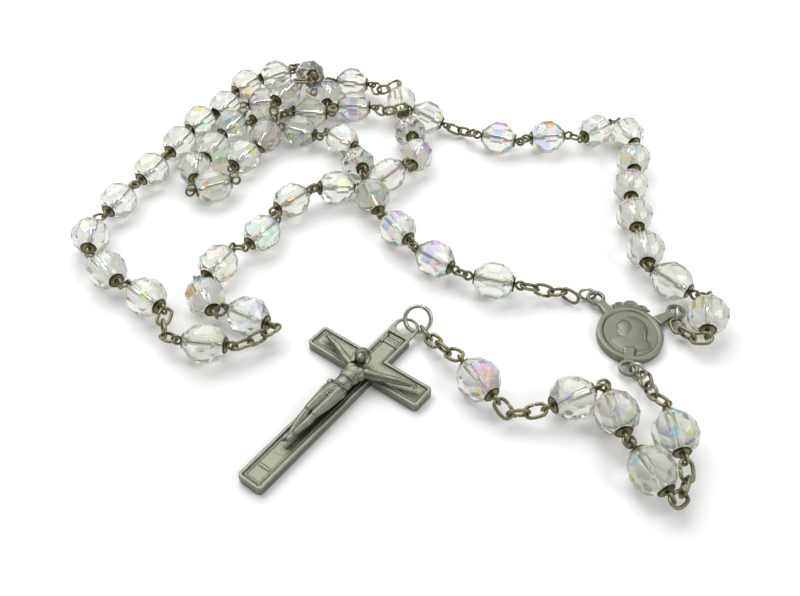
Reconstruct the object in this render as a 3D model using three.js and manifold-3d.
// A five-decade rosary lying on a flat surface: faceted glass beads on looped wire pins, small chain
// links, a centre medal with three lugs, and a crucifix on a jump ring.
// Millimetres, +Z up. The surface is z = 0, and the origin is under the middle of the layout.
import * as THREE from "three";
import { mergeVertices } from "three/addons/utils/BufferGeometryUtils.js";
import Module from "manifold-3d";

const wasm = await Module();
wasm.setup();

// ---------------------------------------------------------------- driving dimensions

const BEAD_ACROSS = 8.2; // corner to corner of the eight-sided belt
const BEAD_LENGTH = 8.0;
const BEAD_BELT = 2.6; // length of the full-width belt
const BEAD_SIDES = 8;
const BEAD_END = 1.9; // radius of the flat round each end of the hole
const BEAD_BORE = 0.55; // radius
const REST = (BEAD_ACROSS / 2) * Math.cos(Math.PI / BEAD_SIDES) + 0.02; // axis height on a flat
const TILT_REST = REST + 0.25; // the same for a bead that lies nose up or nose down

const PIN_WIRE = 0.6;
const CAP_RADIUS = 1.45;
const CAP_THICK = 0.35;
const CAP_GAP = 0.1; // between a loose bead and its caps
const EYE_RADIUS = 0.9; // the eye at each end of a pin, to the middle of its wire
const EYE_AT = 5.55; // middle of a pin to the middle of its eye
const STUB = 4.9; // how far the stubs of a bead in a one-piece strand reach

const LINK_WIRE = 0.7; // chain links by the large beads
const LINK_WIDTH = 3.1;
const LINK_LENGTH = 4.6;
const SMALL_WIRE = 0.6; // the single link between two small beads
const SMALL_LINK = 2.9;
const SIDE_BY_SIDE = 9.7; // beads of a strand nearer than this are joined by a bar
const SMALL_SPAN = 1.4; // closer than this, it is drawn from the near sides of the eyes
const LUG_RING = 3.9; // the round ring in a medal lug
const LUG_PLAY = 0.2; // its wire from the middle of the lug's hole
const JUMP_RING = 6.1; // the ring that holds the crucifix
const JUMP_WIRE = 0.9;

const HOOK = 0.8; // middle to middle of two wires that hang in each other, with running room
const BITE = 0.3; // the same where they are joined into one piece
const JUMP_HOOK = 0.95;
// Wire pieces turn about the wires that stand upright: the eyes of the pins and the links on edge. From
// one of those wires to the next:
const EDGE_STEP = LINK_LENGTH - LINK_WIRE;
const FLAT_STEP = EDGE_STEP - 2 * HOOK;
const SMALL_STEP = SMALL_LINK - SMALL_WIRE - 2 * HOOK;
const PIN_STEP = 2 * (EYE_AT + EYE_RADIUS);
const LUG_STEP = LUG_PLAY + LUG_RING - LINK_WIRE;
const STEEP = 75; // lie of a link that stands on edge, and of the eyes of a pin, in degrees
const FLAT = -15; // lie of the link between two of those
const LUG_LIE = 85; // lie of a ring in a lug

const CROSS = { width: 5.4, thick: 2.1, top: 14.6, foot: 32.4, arm: 13.2, corner: 0.7, crown: 1.7 };
const CROSS_RIM = 0.75;
const CROSS_RECESS = 0.5;
const CROSS_AT = { x: -3.05, y: -42.3, heading: 53 }; // where the beams cross, and where the top points
const BAIL = { hole: 1.95, at: 12.1, under: 1.6, from: 9.8 }; // the thin holed end of the shaft
const FACE_GAP = 0.62; // the corpus stands this far off the field, clear of the raised border

const MEDAL = { width: 13, length: 14.4, thick: 2.0, rim: 1.4, recess: 0.45 };
const MEDAL_AT = { x: 48.6, y: -33.8, heading: 77.5 };
const LUG = { hole: 1.25, outer: 2.1, bottom: 0.95, thick: 0.8 };
const LUG_PLACES = { left: [8.6, 7.1], right: [8.0, -9.0], foot: [-9.2, 0.1] }; // up, across

// Where each bead lies, seen from above: x, y and, where it isn't flat on the surface, its height and
// the rise of its leading end in degrees. Each strand is listed from the end by its lower-numbered
// large bead.
const DECADE_1 = [
  [28, 31], [40.3, 31.5], [53, 34.3, REST, 0, 40], [61, 33, REST, 0, -78], [60.2, 21.8], [57.4, 11.1],
  [56, 0.2], [56, -11.5, REST, 0, -97], [59.3, -21.3, REST, 0, -48], [64.2, -31.1],
];
const DECADE_2 = [
  [-9.2, 45.8], [-20.5, 42.5, REST, 0, 180, "bar"], [-33.4, 47.7, REST, 0, -170], [-40.5, 36.5],
  [-43.5, 26.5], [-46.5, 18], [-41, 11], [-35.5, 23], [-31, 31.2, 4.4, 20], [-27, 43.5, 9.3],
];
const DECADE_3 = [
  [-32, 62], [-39.5, 57], [-43.6, 45.9], [-49, 38.5], [-52.5, 29], [-57, 17.5], [-62, 5.5], [-65, -7],
  [-58.5, -18], [-48.5, -26],
];
const DECADE_4 = [
  [-27, -31.3], [-36.5, -26], [-35.5, -16], [-27.5, -6], [-22, 5.5], [-12, 10, TILT_REST, -16],
  [0.2, 15, TILT_REST, 16], [7, 23.5], [5.5, 33.3, TILT_REST, -14],
  [3.3, 47.6, TILT_REST, 20, 98],
];
const DECADE_5 = [
  [-16.5, 51.5, REST, 0, -90], [-25.4, 51.4, TILT_REST, -22, -110],
  [-32.3, 39.3, TILT_REST, 19, -130, "bar"], [-22.5, 34], [-11.5, 30],
  [-7.2, 19.7, TILT_REST, 16], [-3.5, 6.8, TILT_REST, -16], [2.5, -4.5], [10.5, -14.5], [22.5, -21.2],
];
// The large beads between the decades: x, y, height, heading of the pin and its rise.
const OUR_FATHER_1 = [10.2, 40.4, TILT_REST, 160, 16];
const OUR_FATHER_2 = [-22, 60, 5.2, 110, -25];
const OUR_FATHER_3 = [-34.5, -38.5, REST, -8, 0];
const OUR_FATHER_4 = [-10.2, 58, REST, 170, 0];

// ---------------------------------------------------------------- materials

const material = (color, roughness, metalness) =>
  new THREE.MeshStandardMaterial({ color, roughness, metalness, flatShading: true });
const crystal = () => material(0xdfe6e0, 0.08, 0.1);
const nickel = () => material(0x9a9683, 0.35, 1);
const pewter = () => material(0x9a9f8b, 0.4, 1);

// ---------------------------------------------------------------- solids and frames

const point = (x, y, z = 0) => new THREE.Vector3(x, y, z);
const rad = THREE.MathUtils.degToRad;

// A three.js geometry as a closed solid.
function solid(geometry) {
  const bare = new THREE.BufferGeometry();
  bare.setAttribute("position", geometry.getAttribute("position"));
  if (geometry.index) bare.setIndex(geometry.index);
  const merged = mergeVertices(bare, 1e-4);
  return new wasm.Manifold(
    new wasm.Mesh({
      numProp: 3,
      vertProperties: new Float32Array(merged.attributes.position.array),
      triVerts: new Uint32Array(merged.index.array),
    }),
  );
}

const unite = (solids) => wasm.Manifold.union(solids);

// A solid back as a three.js geometry.
function geometryOf(made) {
  const mesh = made.getMesh();
  const geometry = new THREE.BufferGeometry();
  geometry.setAttribute("position", new THREE.BufferAttribute(mesh.vertProperties, 3));
  geometry.setIndex(new THREE.BufferAttribute(mesh.triVerts, 1));
  const flat = geometry.toNonIndexed();
  flat.computeVertexNormals();
  return flat;
}

function direction(heading, rise = 0) {
  const h = rad(heading);
  const r = rad(rise);
  return point(Math.cos(h) * Math.cos(r), Math.sin(h) * Math.cos(r), Math.sin(r));
}

// A frame at a point with X along a direction, Y level, and then rolled about X.
function frame(at, along, roll = 0) {
  const x = along.clone().normalize();
  const y = point(0, 0, 1).cross(x).normalize();
  const z = x.clone().cross(y);
  return new THREE.Matrix4()
    .makeBasis(x, y, z)
    .multiply(new THREE.Matrix4().makeRotationX(rad(roll)))
    .setPosition(at);
}

const placed = (made, matrix) => made.transform(matrix.toArray());
const moved = (geometry, x, y, z) => solid(geometry.translate(x, y, z));

// ---------------------------------------------------------------- wire work

// An oval ring of round wire in the XY plane, its long way along X.
function ring(length, width, wire, steps = 10, sides = 4) {
  const radius = (width - wire) / 2;
  const stretch = (length - width) / 2;
  const geometry = new THREE.TorusGeometry(radius, wire / 2, sides, steps);
  const at = geometry.attributes.position;
  for (let i = 0; i < at.count; i++) {
    const x = at.getX(i);
    at.setX(i, x + Math.sign(Math.round(x * 1e4)) * stretch);
  }
  return solid(geometry);
}

// A turned solid with its axis along X, from a list of [radius, place] that starts and ends on the axis
// or closes on itself.
function turned(profile, sides, twist = 0) {
  const points = profile.map(([r, x]) => new THREE.Vector2(r, x));
  return solid(new THREE.LatheGeometry(points, sides, twist).rotateZ(-Math.PI / 2));
}

// The same profile mirrored to the other end.
const bothEnds = (half) => [...half, ...half.map(([r, x]) => [r, -x]).reverse()];

// A bead with its hole along X and a flat facet down.
function looseBead() {
  const end = -BEAD_LENGTH / 2;
  const half = [[BEAD_BORE, end], [BEAD_END, end], [BEAD_ACROSS / 2, -BEAD_BELT / 2]];
  return turned([...bothEnds(half), half[0]], BEAD_SIDES, Math.PI / BEAD_SIDES);
}

// A bead in one piece with its caps and the wire stubs that run to its neighbours.
function strungBead() {
  const capEnd = -BEAD_LENGTH / 2 - CAP_THICK;
  const half = [
    [0, -STUB], [CAP_RADIUS, capEnd], [BEAD_END, -BEAD_LENGTH / 2], [BEAD_ACROSS / 2, -BEAD_BELT / 2],
  ];
  return turned(bothEnds(half), BEAD_SIDES, Math.PI / BEAD_SIDES);
}

const EYE_ACROSS = 2 * EYE_RADIUS + PIN_WIRE;
const eye = (side, steps) => ring(EYE_ACROSS, EYE_ACROSS, PIN_WIRE, steps).translate([side * EYE_AT, 0, 0]);

// A pin along X with a cap and an eye at each end.
function pin(steps) {
  const inner = -BEAD_LENGTH / 2 - CAP_GAP;
  const wire = PIN_WIRE / 2;
  const half = [
    [0, EYE_RADIUS - EYE_AT], [wire, EYE_RADIUS - EYE_AT], [wire, inner - CAP_THICK],
    [CAP_RADIUS, inner - CAP_THICK], [CAP_RADIUS, inner], [wire, inner],
  ];
  return unite([turned(bothEnds(half), 5), eye(-1, steps), eye(1, steps)]);
}

const PIN = pin(8);
const LOOSE_BEAD = looseBead();
const STRUNG_BEAD = strungBead();
const LINK = ring(LINK_LENGTH, LINK_WIDTH, LINK_WIRE);

// The bead places of a strand with the way each pin points: from the bead before to the bead after.
function lie(stops, before, after) {
  const at = stops.map(([x, y, z = REST]) => point(x, y, z));
  return at.map((here, i) => {
    const from = at[i - 1] ?? before;
    const to = at[i + 1] ?? after;
    const heading = Math.atan2(to.y - from.y, to.x - from.x);
    const along = direction(stops[i][4] ?? THREE.MathUtils.radToDeg(heading), stops[i][3] ?? 0);
    return { at: here, along, bar: stops[i][5] === "bar" };
  });
}

const hangPoint = (spot, side) => spot.at.clone().addScaledVector(spot.along, (side * PIN_STEP) / 2);

// The small link between two neighbours, drawn out to suit how far apart they lie. It bites into wire
// that reaches a set distance from the middle of each bead: the far side of an eye, or the near side
// where the beads lie close.
function smallLink(one, next, far, near, steps) {
  const ends = [far, near].map((reach) => [
    one.at.clone().addScaledVector(one.along, reach),
    next.at.clone().addScaledVector(next.along, -reach),
  ]);
  const [from, to] = ends.find(([a, b]) => a.distanceTo(b) > SMALL_SPAN) ?? ends[1];
  const along = to.clone().sub(from);
  const made = ring(Math.max(along.length(), 1.2) + SMALL_WIRE, SMALL_LINK - 0.3, SMALL_WIRE, steps);
  return placed(made, frame(from.clone().add(to).multiplyScalar(0.5), along, FLAT));
}

// A straight bar, which stands for the folded eyes of beads that lie side by side.
function bar(from, to) {
  const along = to.clone().sub(from);
  const half = along.length() / 2;
  const profile = [[0, -half], [PIN_WIRE / 2, -half], [PIN_WIRE / 2, half], [0, half]];
  return placed(turned(profile, 4), frame(from.clone().add(to).multiplyScalar(0.5), along));
}

const pairs = (spots) => spots.slice(1).map((next, i) => [spots[i], next]);

// The wire work of a decade in one piece: ten pins and the nine small links between them.
function decadeWire(spots) {
  const pins = spots.map((spot) => placed(PIN, frame(spot.at, spot.along, STEEP)));
  const links = pairs(spots).map(([one, next]) =>
    smallLink(one, next, EYE_AT + 0.45, EYE_AT - EYE_RADIUS, 6),
  );
  return unite([...pins, ...links]);
}

// A whole decade in one piece. Only the two end eyes, which other pieces hang in, are drawn in full.
function decadeStrand(spots) {
  const last = spots.length - 1;
  return unite([
    ...spots.map((spot) => placed(STRUNG_BEAD, frame(spot.at, spot.along))),
    ...pairs(spots).map(([one, next]) =>
      one.bar || one.at.distanceTo(next.at) < SIDE_BY_SIDE
        ? bar(one.at, next.at)
        : smallLink(one, next, STUB - 0.35, STUB - 0.7, 6),
    ),
    placed(eye(-1, 8), frame(spots[0].at, spots[0].along, STEEP)),
    placed(eye(1, 8), frame(spots[last].at, spots[last].along, STEEP)),
  ]);
}

// Three links between two upright wires: flat, on edge, flat. The slack is thrown out to one side and
// the middle is let down.
function slackPoints(from, to, side, dip) {
  const flat = to.clone().sub(from).setZ(0);
  const heading = THREE.MathUtils.radToDeg(Math.atan2(flat.y, flat.x));
  const slack = Math.acos(Math.min(1, (flat.length() - EDGE_STEP) / (2 * FLAT_STEP)));
  const swing = THREE.MathUtils.radToDeg(slack);
  const first = from.clone().addScaledVector(direction(heading + side * swing), FLAT_STEP).setZ(from.z - dip);
  const second = to.clone().addScaledVector(direction(heading - side * swing), -FLAT_STEP).setZ(to.z - dip);
  return [from, first, second, to];
}

// The links along a row of upright wires, flat and on edge by turns, joined into one piece. An end that
// is open hangs in the next piece with running room.
function joinedLinks(points, openStart, openEnd) {
  return pairs(points).map(([from, to], i) => {
    const along = to.clone().sub(from).normalize();
    const onEdge = i % 2 === 1;
    const before = onEdge ? 0 : openStart && i === 0 ? HOOK : BITE;
    const after = onEdge ? 0 : openEnd && i === points.length - 2 ? HOOK : BITE;
    const start = from.clone().addScaledVector(along, -before);
    const end = to.clone().addScaledVector(along, after);
    const made = ring(start.distanceTo(end) + LINK_WIRE, LINK_WIDTH, LINK_WIRE);
    return placed(made, frame(start.add(end).multiplyScalar(0.5), along, onEdge ? STEEP : FLAT));
  });
}

const spotOf = ([x, y, z, heading, rise]) => ({ at: point(x, y, z), along: direction(heading, rise) });

// The pin of a large bead with three links to each side in one piece. Each side says which way its
// slack goes and how far it dips; without that it has a single link.
function ourFather(spot, [before, openBefore, slackBefore], [after, openAfter, slackAfter]) {
  const route = (from, to, slack) => (slack ? slackPoints(from, to, ...slack) : [from, to]);
  return unite([
    placed(PIN, frame(spot.at, spot.along, STEEP)),
    ...joinedLinks(route(before, hangPoint(spot, -1), slackBefore), openBefore, false),
    ...joinedLinks(route(hangPoint(spot, 1), after, slackAfter), false, openAfter),
  ]);
}

// ---------------------------------------------------------------- crucifix

// A Latin cross drawn with its shaft along X, drawn in by an inset all round.
function crossShape(inset, top) {
  const w = CROSS.width / 2 - inset;
  const arm = CROSS.arm - inset;
  const foot = -CROSS.foot + inset;
  const c = CROSS.corner - inset / 2;
  const half = [[top - CROSS.crown, w], [top, w - CROSS.crown]];
  const side = [
    [foot, w - c], [foot + c, w], [-w, w], [-w, arm - c], [-w + c, arm], [w - c, arm], [w, arm - c], [w, w],
  ];
  const outline = [...side, ...half];
  const mirrored = outline.map(([x, y]) => [x, -y]).reverse();
  return new THREE.Shape([...outline, ...mirrored].map(([x, y]) => new THREE.Vector2(x, y)));
}

const plate = (shape, depth, z) =>
  moved(new THREE.ExtrudeGeometry(shape, { depth, bevelEnabled: false }), 0, 0, z);
const disc = (radius, depth, x, y, z, sides = 12) =>
  moved(new THREE.CylinderGeometry(radius, radius, depth, sides).rotateX(Math.PI / 2), x, y, z + depth / 2);
const block = (x, y, z, length, width, height) =>
  moved(new THREE.BoxGeometry(length, width, height), x, y, z + height / 2);

// The cross with a raised border, a thin holed end for the ring, a blank scroll and a bar at the foot.
function crucifixCross() {
  const floor = CROSS.thick - CROSS_RECESS;
  const solidCross = plate(crossShape(0, CROSS.top), CROSS.thick, 0);
  const field = plate(crossShape(CROSS_RIM, BAIL.from), CROSS.thick, floor);
  const step = block(BAIL.from + 4, 0, -1, 8, 2 * CROSS.width, BAIL.under + 1);
  const hole = disc(BAIL.hole, 4, BAIL.at, 0, -1);
  const scroll = [
    block(7.4, 0, floor - 0.2, 1.7, 3.4, 0.55),
    roll(7.4, 3.6, floor + 0.25, 0.45, 1.9, -1),
    roll(7.4, 3.6, floor + 0.25, 0.45, 1.9, 1),
  ];
  const bar = block(-28.4, 0, floor - 0.2, 0.6, 2.6, 0.5);
  const rest = block(-24.4, 0, floor - 0.2, 1.5, 2.4, 0.4);
  return unite([solidCross.subtract(field), ...scroll, bar, rest]).subtract(unite([step, hole]));
}

// A short roll lying along X at one side of the scroll.
function roll(x, span, z, radius, length, side) {
  const profile = [[0, -length / 2], [radius, -length / 2], [radius, length / 2], [0, length / 2]];
  return turned(profile, 6).translate([x, (side * span) / 2, z]);
}

// An egg shape: its half sizes along and across, tilted in plan.
function egg(x, y, z, along, across, high, turn = 0, round = 7) {
  const geometry = new THREE.SphereGeometry(1, round, 4).rotateX(Math.PI / 2).scale(along, across, high);
  return moved(geometry.rotateZ(rad(turn)), x, y, z);
}

// A tapered limb between two points.
function limb(from, to, thick, thin) {
  const along = point(...to).sub(point(...from));
  const geometry = new THREE.CylinderGeometry(thin, thick, along.length(), 5);
  geometry.rotateZ(-Math.PI / 2).translate(along.length() / 2, 0, 0);
  return placed(solid(geometry), frame(point(...from), along));
}

// The figure, head bowed to one side, cut flat behind so that it lies on the face of the cross.
function corpus() {
  const base = CROSS.thick - CROSS_RECESS + FACE_GAP;
  const z = base + 0.75;
  const parts = [
    egg(-0.9, 0.7, z + 0.85, 1.6, 1.2, 1.2, 25),
    egg(-0.5, 0.7, z + 0.55, 1.6, 1.55, 1.15, 25),
    limb([-3.2, 0.1, z], [-1.4, 0.5, z + 0.4], 0.9, 0.7),
    egg(-4.2, 0.1, z, 2.1, 2.1, 1.2),
    egg(-6.6, 0.2, z - 0.1, 2.3, 1.6, 1.0),
    egg(-9.3, 0.2, z, 1.9, 1.9, 1.2),
    limb([-8.4, 1.2, z], [-11.2, 2.1, z - 0.2], 0.8, 0.4),
    limb([-9.6, 0.8, z + 0.1], [-15.6, 1.0, z + 0.35], 1.15, 0.8),
    limb([-9.6, -0.6, z + 0.1], [-15.8, -0.5, z + 0.25], 1.15, 0.8),
    limb([-15.4, 1.0, z + 0.35], [-21.2, 0.3, z - 0.1], 0.85, 0.55),
    limb([-15.6, -0.5, z + 0.25], [-21.0, -0.2, z - 0.15], 0.85, 0.55),
    egg(-22.2, 0.3, z - 0.1, 1.3, 0.55, 0.5),
    egg(-21.9, -0.2, z + 0.2, 1.2, 0.5, 0.45, 8, 6),
  ];
  for (const side of [-1, 1]) {
    parts.push(limb([-3.3, side * 1.1, z], [-1.9, side * 5.4, z - 0.15], 0.85, 0.65));
    parts.push(limb([-1.9, side * 5.3, z - 0.15], [0.1, side * 9.6, z - 0.25], 0.65, 0.45));
    parts.push(egg(0.3, side * 10.2, z - 0.25, 0.55, 0.85, 0.35));
  }
  return unite(parts).trimByPlane([0, 0, 1], base);
}

// ---------------------------------------------------------------- medal

function oval(length, width) {
  const shape = new THREE.Shape();
  shape.absellipse(0, 0, length / 2, width / 2, 0, 2 * Math.PI);
  return new THREE.Shape(shape.getPoints(14));
}

// An oval medal with a raised rim, a veiled head in low relief, a crown and three lugs.
function medal() {
  const floor = MEDAL.thick - MEDAL.recess;
  const dish = plate(oval(MEDAL.length - 2 * MEDAL.rim, MEDAL.width - 2 * MEDAL.rim), MEDAL.thick, floor);
  const body = plate(oval(MEDAL.length, MEDAL.width), MEDAL.thick, 0).subtract(dish);
  const relief = [
    egg(1.2, -0.2, floor, 3.0, 2.3, 0.4, 0),
    egg(-2.6, -0.2, floor, 2.2, 3.3, 0.35, 0),
    egg(1.5, 1.0, floor, 1.7, 1.2, 0.5, 8),
    egg(1.2, 2.2, floor, 0.5, 0.4, 0.4),
  ];
  const crown = [-2.3, 0, 2.3].map((y) =>
    disc(1.5, 1.4, MEDAL.length / 2 + 0.9 - Math.abs(y) / 4, y, 0.3, 10),
  );
  const lugs = Object.values(LUG_PLACES).map(([x, y]) => disc(LUG.outer, LUG.thick, x, y, LUG.bottom));
  const necks = Object.values(LUG_PLACES).map(([x, y]) => {
    const reach = Math.hypot(x, y) - LUG.hole - 0.4;
    const arm = new THREE.BoxGeometry(4, 2.2, LUG.thick).translate(reach - 2, 0, LUG.bottom + LUG.thick / 2);
    return solid(arm.rotateZ(Math.atan2(y, x)));
  });
  const holes = Object.values(LUG_PLACES).map(([x, y]) => disc(LUG.hole, 4, x, y, -1));
  return unite([body, ...relief, ...crown, ...lugs, ...necks]).subtract(unite(holes));
}

// ---------------------------------------------------------------- the layout

const onTable = ({ x, y, heading }) => frame(point(x, y), direction(heading));
const inLayout = ([x, y, z = 0], matrix) => point(x, y, z).applyMatrix4(matrix);

// A run of wire pieces. Each entry: kind, heading, and the height of its far end.
function run(start, entries) {
  const steps = {
    lug: LUG_STEP, lugEnd: LUG_STEP, flat: FLAT_STEP, edge: EDGE_STEP, small: SMALL_STEP, pin: PIN_STEP,
  };
  let from = start;
  return entries.map(([kind, heading, z, roll]) => {
    const rise = THREE.MathUtils.radToDeg(Math.asin((z - from.z) / steps[kind]));
    const along = direction(heading, rise);
    const to = from.clone().addScaledVector(along, steps[kind]);
    const piece = { kind, from, to, along, roll, at: from.clone().add(to).multiplyScalar(0.5) };
    from = to;
    return piece;
  });
}

// The solid of one entry of a run.
function wireOf({ kind, from, to, along, roll, at }) {
  const inLug = LUG_PLAY + (LUG_RING - LINK_WIRE) / 2;
  const kinds = {
    flat: [at, LINK, FLAT],
    edge: [at, LINK, STEEP],
    small: [at, ring(SMALL_LINK, SMALL_LINK, SMALL_WIRE), FLAT],
    pin: [at, PIN, STEEP],
    lug: [from.clone().addScaledVector(along, inLug), ring(LUG_RING, LUG_RING, LINK_WIRE), LUG_LIE],
    lugEnd: [to.clone().addScaledVector(along, -inLug), ring(LUG_RING, LUG_RING, LINK_WIRE), LUG_LIE],
  };
  const [middle, made, usual] = kinds[kind];
  return placed(made, frame(middle, along, roll ?? usual));
}

const PENDANT = [
  ["lug", -42, 2.0], ["flat", -97, 1.9], ["edge", -78, 3.1], ["flat", -62, 3.7],
  ["pin", -88, 3.9],
  ["flat", -95, 3.2], ["edge", -115, 3.2], ["flat", -140, 3.7],
  ["pin", 112, 3.9], ["small", 230, 3.9], ["pin", 97, 3.8], ["small", 200, 3.8],
  ["pin", 205, 3.9],
  ["flat", 184, 3.2], ["edge", 182, 3.0], ["flat", 128, 3.8],
  ["pin", 121.7, 3.9],
  ["flat", 134, 3.2], ["edge", 129, 2.5], ["flat", 122, 1.9], ["edge", 112, 1.1, 60],
];
const RIGHT_LINKS = [["flat", 161, 3.0], ["edge", 124, 2.0], ["flat", 91, 1.9], ["lugEnd", 75, 2.0]];
const LEFT_LINKS = [["flat", 12, 3.0], ["edge", -12, 2.3], ["flat", 20, 2.0], ["edge", -42, 1.9]];
const LEFT_LUG_RING = ["lug", 168, 2.0];
// The jump ring leans back. Its level diameter, its other diameter, and how far round from its lowest
// point the last link hangs, in degrees.
const JUMP = { across: direction(0), lean: direction(90, 45.6), hang: 30 };

const medalFrame = onTable(MEDAL_AT);
const crossFrame = onTable(CROSS_AT);
const lugPoint = (name) => inLayout([...LUG_PLACES[name], 2.0], medalFrame);
const bail = inLayout([BAIL.at, 0, (BAIL.under + CROSS.thick) / 2], crossFrame);

const [of1, of2, of3, of4] = [OUR_FATHER_1, OUR_FATHER_2, OUR_FATHER_3, OUR_FATHER_4].map(spotOf);
const decades = [
  lie(DECADE_1, of1.at, point(54, -40)),
  lie(DECADE_2, of1.at, hangPoint(of2, -1)),
  lie(DECADE_3, hangPoint(of2, 1), of3.at),
  lie(DECADE_4, point(-14, -38), of4.at),
  lie(DECADE_5, of4.at, lugPoint("left")),
];
const start = (spots) => hangPoint(spots[0], -1);
const end = (spots) => hangPoint(spots.at(-1), 1);

const pendant = run(lugPoint("foot"), PENDANT);
const rightLinks = run(end(decades[0]), RIGHT_LINKS);
const leftLinks = run(end(decades[4]), LEFT_LINKS);
const [leftLug] = run(lugPoint("left"), [LEFT_LUG_RING]);
const jumpHook = pendant.at(-1).to;
const jumpRadius = (JUMP_RING - JUMP_WIRE) / 2;
const jumpMiddle = jumpHook
  .clone()
  .addScaledVector(pendant.at(-1).along, -JUMP_HOOK)
  .addScaledVector(JUMP.across, -jumpRadius * Math.sin(rad(JUMP.hang)))
  .addScaledVector(JUMP.lean, jumpRadius * Math.cos(rad(JUMP.hang)));

// ---------------------------------------------------------------- the assembly

const group = new THREE.Group();
group.name = "rosary";

function add(name, made, look) {
  const mesh = new THREE.Mesh(geometryOf(made), look);
  mesh.name = name;
  group.add(mesh);
}

const beadAt = (spot) => placed(LOOSE_BEAD, frame(spot.at, spot.along));
const numbered = (name, i) => `${name}_${String(i + 1).padStart(2, "0")}`;

add("decade_1_wire", decadeWire(decades[0]), nickel());
decades[0].forEach((spot, i) => add(numbered("decade_1_bead", i), beadAt(spot), crystal()));

const hidden = ourFather(of2, [end(decades[1]), false, [-1, 0]], [start(decades[2]), true, [-1, 0]]);
const hiddenBead = placed(STRUNG_BEAD, frame(of2.at, of2.along));
add("decade_2", unite([decadeStrand(decades[1]), hidden, hiddenBead]), crystal());
add("decade_3", decadeStrand(decades[2]), crystal());
add("decade_4", decadeStrand(decades[3]), crystal());
add("decade_5", decadeStrand(decades[4]), crystal());

const largeBeads = [
  [1, of1, [start(decades[0]), true, [-1, 0.8]], [start(decades[1]), true, [1, 0.3]]],
  [3, of3, [end(decades[2]), true, [-1, 0.5]], [start(decades[3]), true, [-1, 0.1]]],
  [4, of4, [end(decades[3]), true, [1, 0.8]], [start(decades[4]), true]],
];
for (const [n, spot, before, after] of largeBeads) {
  add(`our_father_${n}_chain`, ourFather(spot, before, after), nickel());
  add(`our_father_${n}_bead`, beadAt(spot), crystal());
}

leftLinks.forEach((piece, i) => add(numbered("left_link", i), wireOf(piece), nickel()));
add("left_lug_ring", wireOf(leftLug), nickel());
rightLinks.slice(0, 3).forEach((piece, i) => add(numbered("right_link", i), wireOf(piece), nickel()));
add("right_lug_ring", wireOf(rightLinks[3]), nickel());
add("medal", placed(medal(), medalFrame), pewter());

const counts = { link: 0, pin: 0 };
const pendantNames = pendant.map(({ kind }) => {
  if (kind === "lug") return "pendant_lug_ring";
  const sort = kind === "pin" ? "pin" : "link";
  counts[sort] += 1;
  return numbered(`pendant_${sort}`, counts[sort] - 1);
});
pendant.forEach((piece, i) => {
  add(pendantNames[i], wireOf(piece), nickel());
  if (piece.kind === "pin") add(pendantNames[i].replace("pin", "bead"), beadAt(piece), crystal());
});

const jumpFrame = new THREE.Matrix4()
  .makeBasis(JUMP.across, JUMP.lean, JUMP.across.clone().cross(JUMP.lean))
  .setPosition(jumpMiddle);
add("crucifix_jump_ring", placed(ring(JUMP_RING, JUMP_RING, JUMP_WIRE, 14, 5), jumpFrame), nickel());
add("crucifix_cross", placed(crucifixCross(), crossFrame), pewter());
add("crucifix_corpus", placed(corpus(), crossFrame), pewter());

// The origin goes under the middle of the layout, on the surface.
const box = new THREE.Box3().setFromObject(group);
const shift = point(-(box.min.x + box.max.x) / 2, -(box.min.y + box.max.y) / 2, -box.min.z);
for (const mesh of group.children) mesh.geometry.translate(shift.x, shift.y, shift.z);

// Where each moving body turns: a hinge about the upright wire it hangs on, a bead about its pin. The
// strand that lies in the heap, with the large-bead chains in it, is the fixed body "heap".
export const pivots = [];
const hinge = (child, parent, at) => pivots.push({ child, parent, at: at.clone().add(shift) });
const spin = (child, parent, { at, along }) =>
  pivots.push({ child, parent, at: at.clone().add(shift), along });
spin("our_father_1_bead", "heap", of1);
spin("our_father_3_bead", "heap", of3);
spin("our_father_4_bead", "heap", of4);
hinge("decade_1_wire", "heap", start(decades[0]));
decades[0].forEach((spot, i) => spin(numbered("decade_1_bead", i), "decade_1_wire", spot));
rightLinks.forEach((piece, i) => {
  const before = i ? numbered("right_link", i - 1) : "decade_1_wire";
  hinge(i === 3 ? "right_lug_ring" : numbered("right_link", i), before, piece.from);
});
hinge("medal", "right_lug_ring", lugPoint("right"));
hinge("left_lug_ring", "medal", lugPoint("left"));
leftLinks.forEach((piece, i) => {
  hinge(numbered("left_link", i), i ? numbered("left_link", i - 1) : "heap", piece.from);
});
pendant.forEach((piece, i) => {
  hinge(pendantNames[i], i ? pendantNames[i - 1] : "medal", piece.from);
  if (piece.kind === "pin") spin(pendantNames[i].replace("pin", "bead"), pendantNames[i], piece);
});
hinge("crucifix_jump_ring", pendantNames.at(-1), jumpHook);
hinge("crucifix", "crucifix_jump_ring", bail);

export default group;
